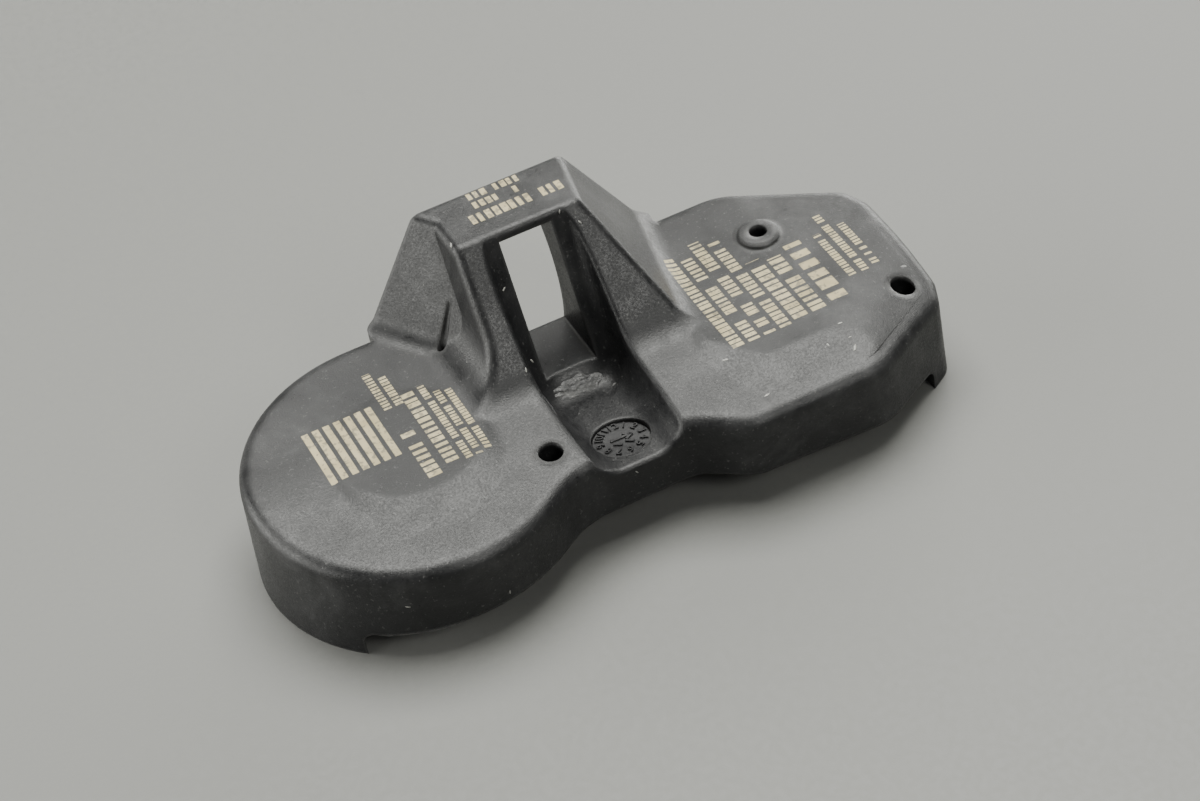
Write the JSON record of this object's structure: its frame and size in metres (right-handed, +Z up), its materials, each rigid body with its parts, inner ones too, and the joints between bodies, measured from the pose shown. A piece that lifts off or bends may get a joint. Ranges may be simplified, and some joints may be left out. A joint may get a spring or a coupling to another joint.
{
  "type": "tyre pressure sensor",
  "caption": "Moulded tyre pressure sensor unit: round battery lobe, electronics bay with pressure port, and a raised saddle with a seat and slot for a wheel valve and its screw.",
  "frame": {"origin": "middle of the footprint, on the surface the sensor lies on", "axes": "+Z up out of the roof, +Y towards the valve seat, +X from the battery lobe towards the electronics bay"},
  "size_m": [0.061, 0.0293, 0.0194],
  "materials": {
    "housing_plastic": "fine matte moulded, glass filled",
    "potting_compound": "self-levelled, satin",
    "cell_steel": "bright nickel",
    "tab_metal": "tinned",
    "board_laminate": "solder mask",
    "chip_plastic": "moulded",
    "seal_rubber": "smooth",
    "ferrite": "sintered",
    "copper": "enamelled",
    "ceramic": "fired"
  },
  "bodies": {
    "root": {"housing": "housing_plastic", "potting": "potting_compound", "coin_cell": "cell_steel", "positive_tab": "tab_metal", "negative_tab": "tab_metal", "circuit_board": "board_laminate", "sensor_chip": "chip_plastic", "port_seal_ring": "seal_rubber", "coil_core": "ferrite", "coil_winding": "copper", "crystal": "tab_metal", "antenna_loop": "copper", "tuning_capacitors": "ceramic", "filter_resistors": "chip_plastic", "tuning_inductor": "ferrite"}
  },
  "joints": []
}
